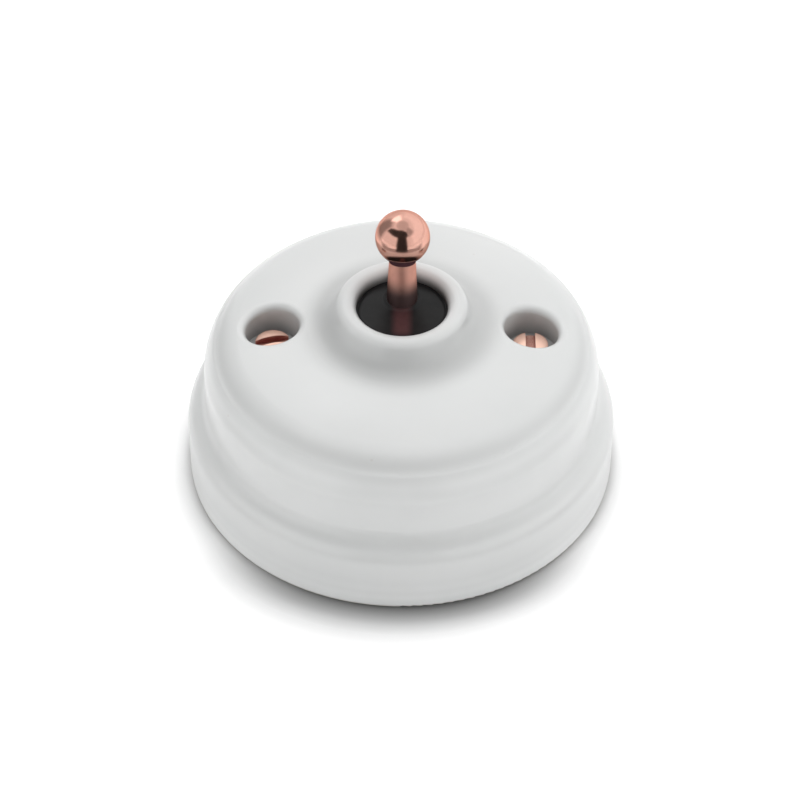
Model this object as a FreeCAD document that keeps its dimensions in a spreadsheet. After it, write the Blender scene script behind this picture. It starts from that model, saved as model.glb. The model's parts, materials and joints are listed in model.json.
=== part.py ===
import FreeCAD, Part
import math
import os
import re

import Sketcher

# Surface-mounted porcelain toggle switch, in millimetres.
# Origin at the centre of the back face, +Z away from the wall, X along the two cover screws.

# Driving sizes, written to the sheet under the same names.
SIZES = {
    # cover outside
    "rim_radius": 40.0,
    "rim_round": 0.6,
    "band_height": 10.4,
    "step_angle": 60.0,
    "step_round": 3.8,
    "step_hollow": 3.0,
    "shoulder_drop": 10.85,
    "shoulder_radius": 10.0,
    "shoulder_angle": 34.0,
    "groove_lip": 1.2,
    "groove_angle": 62.0,
    "groove_hollow": 1.6,
    "groove_end_angle": 36.0,
    "dome_edge_radius": 7.0,
    "dome_edge_angle": 74.0,
    "dome_radius": 46.0,
    "hole_radius": 8.35,
    "lip_radius": 1.9,
    "flank_angle": 15.0,
    "valley_radius": 5.5,
    # cover inside
    "side_wall": 4.4,
    "rim_wall": 4.6,
    "top_wall": 4.1,
    "corner_radius": 7.0,
    # cover screws
    "well_land": 0.19,
    "well_shift": -0.06,
    "well_depth": 6.95,
    "well_round": 1.2,
    "boss_wall": 2.4,
    "boss_gap": 0.3,
    "screw_hole_radius": 2.1,
    "screw_radius": 1.7,
    "screw_end": 8.6,
    "head_share": 0.65,
    "head_edge": 1.9,
    "head_crown": 0.7,
    "slot_width": 1.8,
    "slot_depth": 1.5,
    "slot_turn": 14.0,
    # base and pillars
    "base_thickness": 6.0,
    "base_gap": 0.25,
    "wall_hole_shift": 0.4,
    "wall_hole_radius": 2.25,
    "wall_recess_land": 1.2,
    "wall_recess_depth": 2.5,
    "cable_edge": 0.744,
    "cable_radius": 6.0,
    "pillar_radius": 3.5,
    "pillar_top": 14.0,
    "pillar_bore_spare": 0.6,
    "spigot_radius": 2.4,
    "rivet_radius": 3.9,
    "rivet_height": 1.4,
    "rivet_recess": 1.9,
    "fit_gap": 0.05,
    # housing
    "housing_half_width": 9.0,
    "housing_wall": 2.0,
    "chamber_half_length": 11.0,
    "partition": 4.0,
    "shelf_length": 6.0,
    "shelf_drop": 0.4,
    "divider": 0.8,
    "ear_length": 5.6,
    "ear_half_width": 4.5,
    "ear_thickness": 3.0,
    # lid
    "lid_thickness": 1.5,
    "lid_gap": 0.25,
    "turret_gap": 0.2,
    "turret_bore": 7.0,
    "turret_rise": 3.15,
    "turret_skin": 0.5,
    "window_half_width": 7.1,
    "lever_slot_half_width": 3.15,
    "lever_slot_half_length": 5.75,
    "lid_screw_radius": 1.0,
    "lid_screw_head": 2.0,
    "lid_screw_length": 9.0,
    # lever
    "pivot_height": 26.0,
    "pin_radius": 1.25,
    "pin_inset": 0.3,
    "pin_play": 0.25,
    "pin_clearance": 0.04,
    "lever_tilt": 14.0,
    "knob_reach": 23.8,
    "knob_radius": 5.0,
    "stem_top_radius": 2.42,
    "stem_foot_radius": 3.3,
    "boss_ball_radius": 4.2,
    "tail_radius": 2.7,
    "tail_reach": 8.6,
    "bore_radius": 1.55,
    "bore_top": 3.2,
    # shield under the lever slot
    "shield_gap": 0.3,
    "shield_thickness": 0.8,
    "shield_play": 0.2,
    "shield_hole_radius": 3.05,
    # plunger and spring
    "plunger_reach": 11.0,
    "plunger_tip_radius": 1.0,
    "plunger_shoulder": 10.4,
    "plunger_top": 6.6,
    "spring_wire": 0.4,
    "spring_radius": 1.15,
    "spring_turns": 5.0,
    # rocker and contacts
    "rocker_tilt": 10.0,
    "arm_rise": 18.0,
    "bend_inner": 0.2,
    "blade": 0.8,
    "blade_inset": 0.1,
    "blade_room": 1.2,
    "blade_level": 0.1,
    "keel_radius": 1.0,
    "keel_offset": 1.4,
    "seat_gap": 0.15,
    "contact_inset": 1.4,
    "contact_radius": 1.4,
    "contact_height": 0.9,
    "contact_gap": 0.04,
    "anvil_radius": 1.6,
    "anvil_height": 0.9,
    # strips and terminals
    "strip": 0.8,
    "strip_gap": 0.8,
    "strip_lead": 2.0,
    "strip_end_gap": 1.0,
    "slot_room": 0.1,
    "saddle_half_length": 1.9,
    "saddle_drop": 0.1,
    "rail_edge": 0.8,
    "rail_width": 2.8,
    "terminal_gap": 0.4,
    "terminal_depth": 5.0,
    "terminal_height": 6.6,
    "wire_hole_radius": 1.4,
    "wire_hole_level": 2.4,
    "terminal_screw_radius": 1.4,
    "terminal_head_radius": 2.4,
    "terminal_head_height": 1.8,
    # housing fixings
    "fixing_radius": 1.45,
    "fixing_head_radius": 2.7,
    "fixing_head_height": 2.0,
    "fixing_end": 0.6,
    "nut_corner_radius": 3.15,
    "nut_height": 2.3,
    "nut_recess": 2.8,
    "nut_gap": 0.1,
}

doc = FreeCAD.newDocument("porcelain_toggle_switch")
sheet = doc.addObject("Spreadsheet::Sheet", "Sizes")
for row, (alias, number) in enumerate(SIZES.items(), start=1):
    sheet.set("A%d" % row, alias)
    sheet.set("B%d" % row, str(number))
    sheet.setAlias("B%d" % row, alias)
doc.recompute()

X_AXIS = FreeCAD.Vector(1, 0, 0)
Y_AXIS = FreeCAD.Vector(0, 1, 0)
Z_AXIS = FreeCAD.Vector(0, 0, 1)

# Derived lengths, as expressions on the sheet.
MIDDLE_RADIUS = "(rim_radius - (step_round + step_hollow) * (1 - cos(step_angle * 1 deg)))"
CAVITY_RADIUS = "(%s - side_wall)" % MIDDLE_RADIUS
POCKET_RADIUS = "(rim_radius - rim_wall)"
BASE_RADIUS = "(%s - base_gap)" % POCKET_RADIUS
DOME_START = (
    "(%s - shoulder_radius * (1 - cos(shoulder_angle * 1 deg))"
    " - groove_lip * (cos(shoulder_angle * 1 deg) - cos(groove_angle * 1 deg))"
    " - groove_hollow * (cos(groove_end_angle * 1 deg) - cos(groove_angle * 1 deg))"
    " - dome_edge_radius * (cos(groove_end_angle * 1 deg) - cos(dome_edge_angle * 1 deg)))" % MIDDLE_RADIUS
)
LIP_FOOT = "(hole_radius + lip_radius * (1 + cos(flank_angle * 1 deg)))"
VALLEY_END = "(%s + valley_radius * cos(flank_angle * 1 deg))" % LIP_FOOT
WELL_RADIUS = "((%s - %s) / 2 - well_round - well_land)" % (DOME_START, VALLEY_END)
SCREW_OFFSET = "((%s + %s) / 2 + well_shift)" % (DOME_START, VALLEY_END)
HEAD_RADIUS = "(head_share * %s)" % WELL_RADIUS
HOUSING_TOP = "(pivot_height + pin_radius + pin_play)"
LID_TOP = "(%s + lid_thickness)" % HOUSING_TOP
CEILING = "(%s + lid_gap)" % LID_TOP
CROWN = "(%s + top_wall)" % CEILING
SHOULDER = "(%s - shoulder_drop)" % CROWN
WELL_FLOOR = "(%s - well_depth)" % CROWN
BOSS_FOOT = "(pillar_top + boss_gap)"
TURRET_RADIUS = "(hole_radius - turret_gap)"
TURRET_TOP = "(%s + turret_rise)" % CROWN
SHIELD_RADIUS = "(%s - turret_skin - shield_gap - pivot_height)" % TURRET_TOP
SHIELD_ANGLE = "(asin((hole_radius - shield_play) / %s) - lever_tilt * 1 deg)" % SHIELD_RADIUS
CHAMBER_WIDTH = "(housing_half_width - housing_wall)"
EAR_HOLE = "(housing_half_width + ear_length / 2)"
PARTITION_END = "(chamber_half_length + partition)"
SHELF_END = "(%s + shelf_length)" % PARTITION_END
WALL_HOLE = "((%s + %s) / 2 + wall_hole_shift)" % (CAVITY_RADIUS, SHELF_END)
WALL_RECESS = "((%s - %s) / 2 - wall_recess_land)" % (CAVITY_RADIUS, SHELF_END)
CABLE_OFFSET = "((%s - cable_radius - cable_edge) / sqrt(2))" % CAVITY_RADIUS
RAIL_OUTSIDE = "(%s - rail_edge)" % CHAMBER_WIDTH
RAIL_INSIDE = "(%s - rail_width)" % RAIL_OUTSIDE
STRIP_HALF = "(%s - strip_gap)" % RAIL_INSIDE
BLADE_REACH = "(chamber_half_length - blade_room)"
CONTACT_ARM = "(%s - contact_inset)" % BLADE_REACH
BEND_OUTER = "(bend_inner + blade)"
BLADE_LOW = "(keel_offset + blade_level)"
SEAT = "((plunger_tip_radius + seat_gap - bend_inner) / cos(arm_rise * 1 deg))"
ROCKER_Z = "(pivot_height - plunger_reach - %s - keel_offset)" % SEAT
DOME_BALL = "((contact_radius ^ 2 + contact_height ^ 2) / (2 * contact_height))"
CONTACT_DROP = (
    "(%s * sin(rocker_tilt * 1 deg) + %s - (%s - contact_height + %s) * cos(rocker_tilt * 1 deg))"
    % (CONTACT_ARM, DOME_BALL, BLADE_LOW, DOME_BALL)
)
STRIP_TOP = "(%s - %s - contact_gap - anvil_height)" % (ROCKER_Z, CONTACT_DROP)
FLOOR = "(%s - strip)" % STRIP_TOP
TERMINAL_TOP = "(%s + terminal_height)" % STRIP_TOP
SHELF_TOP = "(%s - shelf_drop)" % TERMINAL_TOP
TERMINAL_Y = "(%s + strip_end_gap / 2 + terminal_depth / 2)" % PARTITION_END
TERMINAL_WIDTH = "(%s - divider / 2 - 2.5 * terminal_gap)" % CHAMBER_WIDTH
TERMINAL_X = "(divider / 2 + terminal_gap + %s / 2)" % TERMINAL_WIDTH


def ex(text):
    """Expression text with every sheet name written in full."""
    return re.sub(r"[a-z_]+", lambda m: "Sizes." + m.group() if m.group() in SIZES else m.group(), str(text))


def val(text):
    """Value of an expression on the sheet."""
    return float(sheet.evalExpression(ex(text)))


def bind(obj, prop, text):
    obj.setExpression(prop, ex(text))


def place(obj, x="0", y="0", z="0", axis=None, angle="0"):
    """Bind an object's position, and its turn about an axis, to the sheet."""
    if axis is not None:
        turn = FreeCAD.Rotation(axis, max(val(angle), 1.0))
        obj.Placement = FreeCAD.Placement(FreeCAD.Vector(val(x), val(y), val(z)), turn)
        bind(obj, "Placement.Rotation.Angle", "(%s) * 1 deg" % angle)
    for name, text in (("x", x), ("y", y), ("z", z)):
        bind(obj, "Placement.Base." + name, text)
    return obj


def box(name, x0, x1, y0, y1, z0, z1):
    obj = doc.addObject("Part::Box", name)
    for prop, low, high in (("Length", x0, x1), ("Width", y0, y1), ("Height", z0, z1)):
        bind(obj, prop, "(%s) - (%s)" % (high, low))
    return place(obj, x0, y0, z0)


def rod(name, radius, z0, z1, x="0", y="0"):
    """Upright cylinder."""
    obj = doc.addObject("Part::Cylinder", name)
    bind(obj, "Radius", radius)
    bind(obj, "Height", "(%s) - (%s)" % (z1, z0))
    return place(obj, x, y, z0)


def cross_rod(name, radius, half_length, y, z):
    """Cylinder along X."""
    obj = doc.addObject("Part::Cylinder", name)
    bind(obj, "Radius", radius)
    bind(obj, "Height", "2 * (%s)" % half_length)
    return place(obj, "-(%s)" % half_length, y, z, Y_AXIS, "90")


def wire_rod(name, radius, length, x, y, z):
    """Cylinder along -Y from the given point."""
    obj = doc.addObject("Part::Cylinder", name)
    bind(obj, "Radius", radius)
    bind(obj, "Height", length)
    return place(obj, x, y, z, X_AXIS, "90")


def cone(name, low_radius, high_radius, z0, z1, x="0", y="0"):
    obj = doc.addObject("Part::Cone", name)
    bind(obj, "Radius1", low_radius)
    bind(obj, "Radius2", high_radius)
    bind(obj, "Height", "(%s) - (%s)" % (z1, z0))
    return place(obj, x, y, z0)


def hexagon(name, corner_radius, z0, z1, x="0", y="0"):
    obj = doc.addObject("Part::Prism", name)
    obj.Polygon = 6
    bind(obj, "Circumradius", corner_radius)
    bind(obj, "Height", "(%s) - (%s)" % (z1, z0))
    return place(obj, x, y, z0)


def fuse(name, shapes):
    obj = doc.addObject("Part::MultiFuse", name)
    obj.Shapes = shapes
    obj.Refine = True
    return obj


def cut(name, body, tools):
    obj = doc.addObject("Part::Cut", name)
    obj.Base = body
    obj.Tool = tools[0] if len(tools) == 1 else fuse(name + "_tools", tools)
    obj.Refine = True
    return obj


def group(name, members):
    obj = doc.addObject("Part::Compound", name)
    obj.Links = members
    return obj


def new_body(name):
    return doc.addObject("PartDesign::Body", name)


def new_sketch(body, name, role, level=None):
    """Sketch on one of the body's own planes, lifted to a level along its normal."""
    sketch = body.newObject("Sketcher::SketchObject", name)
    plane = [f for f in body.Origin.OriginFeatures if f.Role == role][0]
    sketch.AttachmentSupport = [(plane, "")]
    sketch.MapMode = "FlatFace"
    if level is not None:
        bind(sketch, "AttachmentOffset.Base.z", level)
    return sketch


def arc_through(start, end, radius, side):
    """Minor arc from start to end; side +1 keeps its centre left of the direction of travel."""
    dx, dy = end[0] - start[0], end[1] - start[1]
    chord = math.hypot(dx, dy)
    rise = math.sqrt(max(radius * radius - chord * chord / 4.0, 0.0))
    mid = ((start[0] + end[0]) / 2.0, (start[1] + end[1]) / 2.0)
    bulge = (radius - rise) * -side
    return FreeCAD.Vector(mid[0] - dy / chord * bulge, mid[1] + dx / chord * bulge, 0)


def draw(sketch, path):
    """Closed outline: each entry is x, y and then, for an arc to the next point, radius and side."""
    points = [(val(p[0]), val(p[1])) for p in path]
    count = len(path)
    made = []
    for i, entry in enumerate(path):
        start, end = points[i], points[(i + 1) % count]
        a = FreeCAD.Vector(start[0], start[1], 0)
        b = FreeCAD.Vector(end[0], end[1], 0)
        if len(entry) == 2:
            made.append((sketch.addGeometry(Part.LineSegment(a, b), False), 1, 2))
            continue
        middle = arc_through(start, end, val(entry[2]), entry[3])
        if entry[3] > 0:
            made.append((sketch.addGeometry(Part.Arc(a, middle, b), False), 1, 2))
        else:
            made.append((sketch.addGeometry(Part.Arc(b, middle, a), False), 2, 1))
    for i in range(count):
        here, after = made[i], made[(i + 1) % count]
        sketch.addConstraint(Sketcher.Constraint("Coincident", here[0], here[2], after[0], after[1]))
    for i, entry in enumerate(path):
        index, first, last = made[i]
        for kind, text, number in zip(("DistanceX", "DistanceY"), entry[:2], points[i]):
            c = sketch.addConstraint(Sketcher.Constraint(kind, -1, 1, index, first, number))
            if text != "0":
                bind(sketch, "Constraints[%d]" % c, text)
        if len(entry) > 2:
            c = sketch.addConstraint(Sketcher.Constraint("Radius", index, val(entry[2])))
            bind(sketch, "Constraints[%d]" % c, entry[2])
    return sketch


def circles(sketch, entries):
    """Full circles, each as x, y and radius."""
    for x, y, radius in entries:
        centre = FreeCAD.Vector(val(x), val(y), 0)
        index = sketch.addGeometry(Part.Circle(centre, Z_AXIS, val(radius)), False)
        for kind, text in (("DistanceX", x), ("DistanceY", y)):
            c = sketch.addConstraint(Sketcher.Constraint(kind, -1, 1, index, 3, val(text)))
            if text != "0":
                bind(sketch, "Constraints[%d]" % c, text)
        c = sketch.addConstraint(Sketcher.Constraint("Radius", index, val(radius)))
        bind(sketch, "Constraints[%d]" % c, radius)
    return sketch


def turn(body, name, sketch):
    """Full revolution of a sketch about its upright axis."""
    feature = body.newObject("PartDesign::Revolution", name)
    feature.Profile = sketch
    feature.ReferenceAxis = (sketch, ["V_Axis"])
    feature.Angle = 360
    return feature


def pad(body, name, sketch, length, both_ways=False):
    feature = body.newObject("PartDesign::Pad", name)
    feature.Profile = sketch
    feature.Midplane = both_ways
    bind(feature, "Length", length)
    return feature


def pocket(body, name, sketch, length, along_normal):
    feature = body.newObject("PartDesign::Pocket", name)
    feature.Profile = sketch
    feature.Reversed = along_normal
    bind(feature, "Length", length)
    return feature


def rise(radius, low, high):
    """Step in radius and height along a bulging arc whose outward normal turns from low to high."""
    return (
        "%s * (cos(%s * 1 deg) - cos(%s * 1 deg))" % (radius, high, low),
        "%s * (sin(%s * 1 deg) - sin(%s * 1 deg))" % (radius, high, low),
    )


def follow(path, radius, low, high):
    """Extend a profile path with an arc tangent to what comes before and after it."""
    x, y = path[-1][:2]
    bulging = high_is_more(low, high)
    step = rise(radius, low, high) if bulging else rise("-" + radius, low, high)
    path[-1] = (x, y, radius, 1 if bulging else -1)
    path.append(("%s + %s" % (x, step[0]), "%s + %s" % (y, step[1])))


def high_is_more(low, high):
    return val(high) > val(low)


def cover_outline():
    """Half section of the porcelain cover: outside from rim to lip, then back down the inside."""
    path = [("rim_radius - rim_round", "0", "rim_round", 1), ("rim_radius", "rim_round")]
    path.append(("rim_radius", "band_height"))
    follow(path, "step_round", "0", "step_angle")
    follow(path, "step_hollow", "step_angle", "0")
    path.append((MIDDLE_RADIUS, SHOULDER))
    follow(path, "shoulder_radius", "0", "shoulder_angle")
    follow(path, "groove_lip", "shoulder_angle", "groove_angle")
    follow(path, "groove_hollow", "groove_angle", "groove_end_angle")
    follow(path, "dome_edge_radius", "groove_end_angle", "dome_edge_angle")
    lift = "(1 - sin(flank_angle * 1 deg))"
    flank_height = "%s + valley_radius * %s" % (CROWN, lift)
    path[-1] = (DOME_START, path[-1][1], "dome_radius", 1)
    path.append((VALLEY_END, CROWN, "valley_radius", -1))
    path.append((LIP_FOOT, flank_height, "lip_radius", 1))
    path.append(("hole_radius + lip_radius", "%s + lip_radius * %s" % (flank_height, lift), "lip_radius", 1))
    path.append(("hole_radius", "%s - lip_radius * sin(flank_angle * 1 deg)" % flank_height))
    path.append(("hole_radius", CEILING))
    path.append(("%s - corner_radius" % CAVITY_RADIUS, CEILING, "corner_radius", -1))
    path.append((CAVITY_RADIUS, "%s - corner_radius" % CEILING))
    path.append((CAVITY_RADIUS, "base_thickness"))
    path.append((POCKET_RADIUS, "base_thickness"))
    path.append((POCKET_RADIUS, "0"))
    return path


def well_rims(shape):
    """Names of the edges where the two screw wells break through the dome."""
    names = []
    for number, edge in enumerate(shape.Edges, start=1):
        if edge.BoundBox.ZMin < val(WELL_FLOOR) + 1.0 or edge.BoundBox.ZMax > val(CROWN) + 1.0:
            continue
        spots = edge.discretize(9)
        reach = [math.hypot(abs(p.x) - val(SCREW_OFFSET), p.y) for p in spots]
        if max(abs(r - val(WELL_RADIUS)) for r in reach) < 0.01:
            names.append("Edge%d" % number)
    return names


def make_cover():
    body = new_body("cover")
    profile = draw(new_sketch(body, "cover_profile", "XZ_Plane"), cover_outline())
    turn(body, "cover_turned", profile)
    spots = [(SCREW_OFFSET, "0"), ("-" + SCREW_OFFSET, "0")]
    bosses = new_sketch(body, "boss_circles", "XY_Plane", BOSS_FOOT)
    circles(bosses, [(x, y, WELL_RADIUS + " + boss_wall") for x, y in spots])
    pad(body, "bosses", bosses, "%s + 1 - %s" % (CEILING, BOSS_FOOT))
    wells = new_sketch(body, "well_circles", "XY_Plane", WELL_FLOOR)
    circles(wells, [(x, y, WELL_RADIUS) for x, y in spots])
    pocket(body, "wells", wells, CROWN, True)
    holes = new_sketch(body, "screw_circles", "XY_Plane", BOSS_FOOT)
    circles(holes, [(x, y, "screw_hole_radius") for x, y in spots])
    doc.recompute()
    last = pocket(body, "screw_holes", holes, "%s - %s + 1" % (WELL_FLOOR, BOSS_FOOT), True)
    doc.recompute()
    rims = body.newObject("PartDesign::Fillet", "well_rims")
    rims.Base = (last, well_rims(last.Shape))
    bind(rims, "Radius", "well_round")
    return body


def make_base():
    plate = rod("base_plate", BASE_RADIUS, "0", "base_thickness")
    over = "base_thickness + 1"
    fixing = "fixing_radius + 4 * fit_gap"
    tools = []
    for tag, sign in (("a", ""), ("b", "-")):
        spot = dict(x="0", y=sign + WALL_HOLE)
        tools.append(rod("wall_hole_" + tag, "wall_hole_radius", "-1", over, **spot))
        depth = "base_thickness - wall_recess_depth"
        tools.append(rod("wall_recess_" + tag, WALL_RECESS, depth, over, **spot))
        spot = dict(x=sign + SCREW_OFFSET)
        tools.append(rod("spigot_hole_" + tag, "spigot_radius + fit_gap", "-1", over, **spot))
        tools.append(rod("rivet_recess_" + tag, "rivet_radius + 0.3", "-1", "rivet_recess", **spot))
        spot = dict(x=sign + EAR_HOLE)
        tools.append(rod("fixing_hole_" + tag, fixing, "-1", over, **spot))
        tools.append(hexagon("nut_recess_" + tag, "nut_corner_radius + nut_gap", "-1", "nut_recess", **spot))
    tools.append(rod("cable_hole", "cable_radius", "-1", over, CABLE_OFFSET, CABLE_OFFSET))
    return cut("base", plate, tools)


def slotted_screw(name):
    """Cover screw with a low domed head, standing at the origin with its slot along X."""
    body = new_body(name + "_blank")
    ball = "(%s ^ 2 + head_crown ^ 2) / (2 * head_crown)" % HEAD_RADIUS
    edge = "%s + head_edge" % WELL_FLOOR
    top = edge + " + head_crown"
    outline = [
        ("0", "screw_end"),
        ("screw_radius - 0.4", "screw_end"),
        ("screw_radius", "screw_end + 0.4"),
        ("screw_radius", WELL_FLOOR),
        (HEAD_RADIUS, WELL_FLOOR),
        (HEAD_RADIUS, edge, ball, 1),
        ("0", top),
    ]
    turn(body, name + "_turned", draw(new_sketch(body, name + "_profile", "XZ_Plane"), outline))
    reach = "%s + 1" % HEAD_RADIUS
    blade = box(name + "_slot", "-(%s)" % reach, reach, "-slot_width / 2", "slot_width / 2",
                "%s - slot_depth" % top, "%s + 1" % top)
    return cut(name, body, [blade])


def make_cover_screws():
    left = place(slotted_screw("cover_screw_left"), "-" + SCREW_OFFSET, "0", "0", Z_AXIS, "slot_turn")
    right = place(slotted_screw("cover_screw_right"), SCREW_OFFSET, "0", "0", Z_AXIS, "90")
    return group("cover_screws", [left, right])


def make_pillars():
    made = []
    for tag, x in (("left", "-" + SCREW_OFFSET), ("right", SCREW_OFFSET)):
        name = "pillar_" + tag
        parts = [
            rod(name + "_post", "pillar_radius", "base_thickness", "pillar_top", x),
            rod(name + "_spigot", "spigot_radius", "rivet_recess - rivet_height", "base_thickness + 1", x),
            rod(name + "_rivet", "rivet_radius", "rivet_recess - rivet_height", "rivet_recess", x),
        ]
        low = "screw_end - pillar_bore_spare"
        bore = rod(name + "_bore", "screw_radius + fit_gap", low, "pillar_top + 1", x)
        made.append(cut(name, fuse(name + "_blank", parts), [bore]))
    return group("cover_pillars", made)


def lid_screw_y(sign):
    return "%s(chamber_half_length + partition / 2)" % sign


def make_housing():
    wide = "housing_half_width"
    floor = "base_thickness"
    ear_top = "base_thickness + ear_thickness"
    ear_end = "housing_half_width + ear_length"
    over = HOUSING_TOP + " + 1"
    block = box("housing_block", "-" + wide, wide, "-" + PARTITION_END, PARTITION_END, floor, HOUSING_TOP)
    shelf = box("housing_shelf", "-" + wide, wide, "-" + SHELF_END, SHELF_END, floor, SHELF_TOP)
    ear = "ear_half_width"
    ears = box("housing_ears", "-(%s)" % ear_end, ear_end, "-" + ear, ear, floor, ear_top)
    room = ("-" + CHAMBER_WIDTH, CHAMBER_WIDTH)
    tools = [box("chamber", *room, "-chamber_half_length", "chamber_half_length", FLOOR, over)]
    bay_top = SHELF_TOP + " + 1"
    bay_end = SHELF_END + " + 1"
    tools.append(box("bay_front", *room, "-(%s)" % bay_end, "-" + PARTITION_END, FLOOR, bay_top))
    tools.append(box("bay_back", *room, PARTITION_END, bay_end, FLOOR, bay_top))
    top = "%s + slot_room" % STRIP_TOP
    half = "(%s + slot_room)" % STRIP_HALF
    near = "chamber_half_length - 1"
    reach = "%s + 1" % PARTITION_END
    tools.append(box("strip_slot_back", "-" + half, half, near, reach, FLOOR, top))
    front = ("-(%s)" % reach, "-(%s)" % near, FLOOR, top)
    left = ("-%s - %s" % (TERMINAL_X, half), "-%s + %s" % (TERMINAL_X, half))
    tools.append(box("strip_slot_front", *left, *front))
    tools.append(box("strip_slot_rail", RAIL_INSIDE + " - slot_room", RAIL_OUTSIDE + " + slot_room", *front))
    seat = "pin_radius + pin_clearance"
    out = wide + " + 1"
    tools.append(cross_rod("pin_seat", seat, out, "0", "pivot_height"))
    tools.append(box("pin_slot", "-(%s)" % out, out, "-(%s)" % seat, seat, "pivot_height", over))
    for tag, sign in (("a", ""), ("b", "-")):
        low = "%s - lid_screw_length - 0.5" % HOUSING_TOP
        thread = "lid_screw_radius + fit_gap"
        tools.append(rod("lid_thread_" + tag, thread, low, over, "0", lid_screw_y(sign)))
        hole = "fixing_radius + 4 * fit_gap"
        tools.append(rod("ear_hole_" + tag, hole, floor + " - 1", ear_top + " + 1", sign + EAR_HOLE))
    shell = cut("housing_shell", fuse("housing_blank", [block, shelf, ears]), tools)
    rib = box("bay_divider", "-divider / 2", "divider / 2", "-" + SHELF_END, "-" + PARTITION_END + " + 0.5",
              FLOOR + " - 0.5", SHELF_TOP)
    return fuse("switch_housing", [shell, rib])


def make_lid():
    wide = "housing_half_width"
    plate = box("lid_plate", "-" + wide, wide, "-" + PARTITION_END, PARTITION_END, HOUSING_TOP, LID_TOP)
    turret = rod("lid_turret", TURRET_RADIUS, HOUSING_TOP, TURRET_TOP)
    under = "%s - turret_skin" % TURRET_TOP
    past = TURRET_RADIUS + " + 1"
    tools = [
        rod("turret_bore", "turret_bore", HOUSING_TOP + " - 1", under),
        box("turret_window", "-window_half_width", "window_half_width", "-(%s)" % past, past, LID_TOP, under),
    ]
    half = "lever_slot_half_width"
    end = "lever_slot_half_length - " + half
    low, high = under + " - 1", TURRET_TOP + " + 1"
    tools.append(box("lever_slot", "-" + half, half, "-(%s)" % end, end, low, high))
    hole = "lid_screw_radius + fit_gap"
    sink = LID_TOP + " - lid_screw_head + lid_screw_radius"
    for tag, sign in (("a", ""), ("b", "-")):
        y = lid_screw_y(sign)
        tools.append(rod("lever_slot_end_" + tag, half, low, high, "0", "%s(%s)" % (sign, end)))
        tools.append(rod("lid_hole_" + tag, hole, HOUSING_TOP + " - 1", LID_TOP + " + 1", "0", y))
        tools.append(cone("lid_sink_" + tag, hole, "lid_screw_head + fit_gap", sink, LID_TOP, "0", y))
    return cut("housing_lid", fuse("lid_blank", [plate, turret]), tools)


def make_lid_screws():
    made = []
    for tag, sign in (("a", ""), ("b", "-")):
        name = "lid_screw_" + tag
        y = lid_screw_y(sign)
        sink = LID_TOP + " - lid_screw_head + lid_screw_radius"
        parts = [
            rod(name + "_shank", "lid_screw_radius", HOUSING_TOP + " - lid_screw_length", sink, "0", y),
            cone(name + "_head", "lid_screw_radius", "lid_screw_head", sink, LID_TOP, "0", y),
        ]
        reach = "lid_screw_head + 1"
        slot = box(name + "_slot", "-(%s)" % reach, reach, y + " - 0.25", y + " + 0.25",
                   LID_TOP + " - 0.5", LID_TOP + " + 1")
        made.append(cut(name, fuse(name + "_blank", parts), [slot]))
    return group("lid_screws", made)


def make_housing_fixings():
    screws, nuts = [], []
    seat = "base_thickness + ear_thickness"
    for tag, x in (("left", "-" + EAR_HOLE), ("right", EAR_HOLE)):
        name = "fixing_" + tag
        parts = [
            rod(name + "_shank", "fixing_radius", "fixing_end", seat + " + 0.5", x),
            rod(name + "_head", "fixing_head_radius", seat, seat + " + fixing_head_height", x),
        ]
        reach = "(fixing_head_radius + 1)"
        slot = box(name + "_slot", "%s - %s" % (x, reach), "%s + %s" % (x, reach), "-0.4", "0.4",
                   seat + " + fixing_head_height / 2", seat + " + fixing_head_height + 1")
        screws.append(cut(name, fuse(name + "_blank", parts), [slot]))
        nut = hexagon("nut_blank_" + tag, "nut_corner_radius", "nut_recess - nut_height", "nut_recess", x)
        bore = rod("nut_bore_" + tag, "fixing_radius + fit_gap", "-1", "nut_recess + 1", x)
        nuts.append(cut("nut_" + tag, nut, [bore]))
    return group("housing_screws", screws), group("housing_nuts", nuts)


def make_pin():
    return cross_rod("pivot_pin", "pin_radius", "housing_half_width - pin_inset", "0", "pivot_height")


def lean(obj):
    """Stand an object of the lever's own frame on the pivot at the lever's resting tilt."""
    return place(obj, "0", "0", "pivot_height", FreeCAD.Vector(-1, 0, 0), "lever_tilt")


def make_lever():
    body = new_body("lever")
    neck = "knob_reach - sqrt(knob_radius ^ 2 - stem_top_radius ^ 2)"
    outline = [
        ("0", "-bore_top"),
        ("bore_radius", "-bore_top"),
        ("bore_radius", "-tail_reach"),
        ("tail_radius - 0.4", "-tail_reach"),
        ("tail_radius", "-tail_reach + 0.4"),
        ("tail_radius", "-sqrt(boss_ball_radius ^ 2 - tail_radius ^ 2)", "boss_ball_radius", 1),
        ("boss_ball_radius", "0", "boss_ball_radius", 1),
        ("stem_foot_radius", "sqrt(boss_ball_radius ^ 2 - stem_foot_radius ^ 2)"),
        ("stem_top_radius", neck, "knob_radius", 1),
        ("knob_radius", "knob_reach", "knob_radius", 1),
        ("0", "knob_reach + knob_radius"),
    ]
    turn(body, "lever_turned", draw(new_sketch(body, "lever_profile", "XZ_Plane"), outline))
    eye = circles(new_sketch(body, "eye_circle", "YZ_Plane"), [("0", "0", "pin_radius + pin_clearance")])
    hole = pocket(body, "eye", eye, "4 * boss_ball_radius", False)
    hole.Midplane = True
    return lean(body)


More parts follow.
